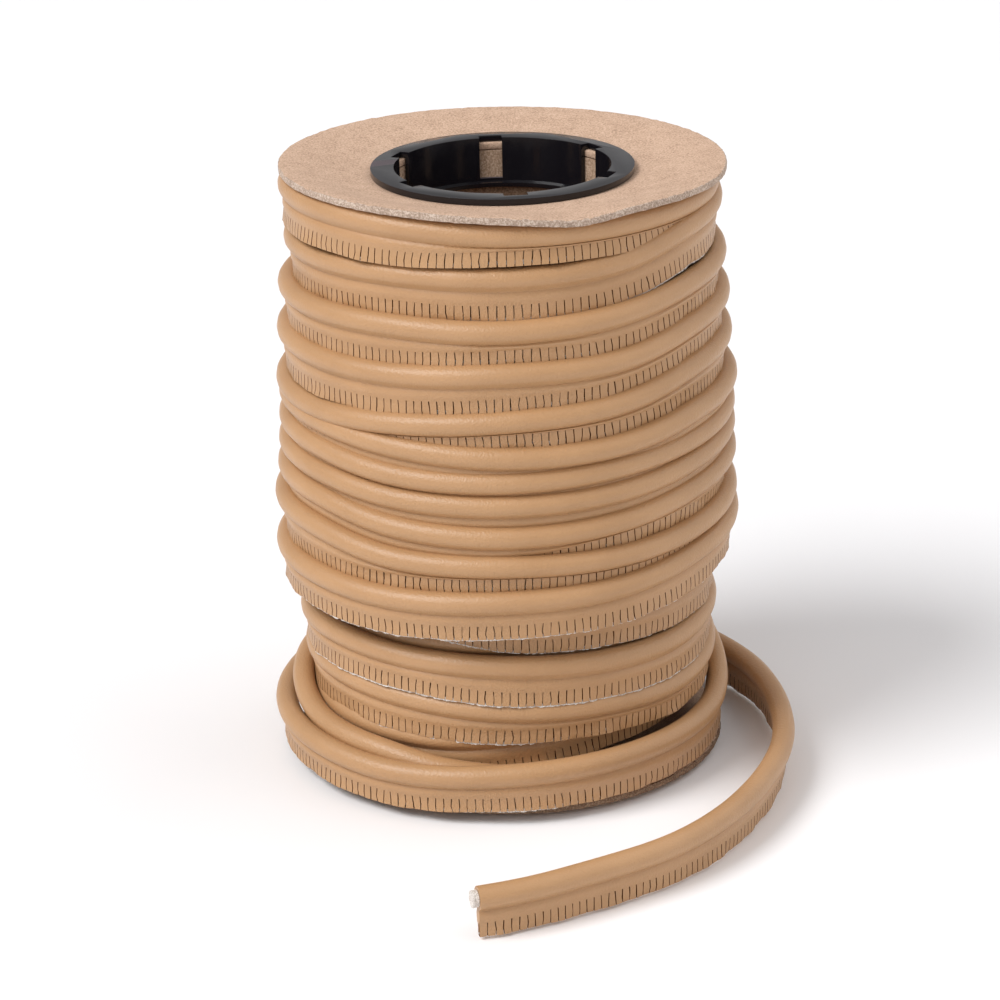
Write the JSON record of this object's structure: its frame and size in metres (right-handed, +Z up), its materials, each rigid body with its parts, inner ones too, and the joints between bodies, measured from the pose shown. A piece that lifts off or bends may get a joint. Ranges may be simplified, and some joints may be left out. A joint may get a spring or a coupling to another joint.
{
  "type": "roll of piping trim",
  "caption": "Vinyl-covered piping, a round bead with a flat notched flange, wound on a cardboard reel with a loose end on the floor.",
  "frame": {"origin": "on the reel's axis, in the plane of the lower hub rim that the reel stands on", "axes": "+Z up along the reel's axis, -Y towards the viewer of the picture, +X to the right"},
  "size_m": [0.1824, 0.246, 0.2117],
  "materials": {
    "cardboard": "matte",
    "black_plastic": "glossy",
    "tan_vinyl": "satin",
    "cotton": "matte"
  },
  "bodies": {
    "root": {"lower_disc": "cardboard", "upper_disc": "cardboard", "core_tube": "cardboard", "upper_hub": "black_plastic", "lower_hub": "black_plastic", "wound_piping": "tan_vinyl", "loose_end": "tan_vinyl", "filler_end": "cotton"}
  },
  "joints": []
}
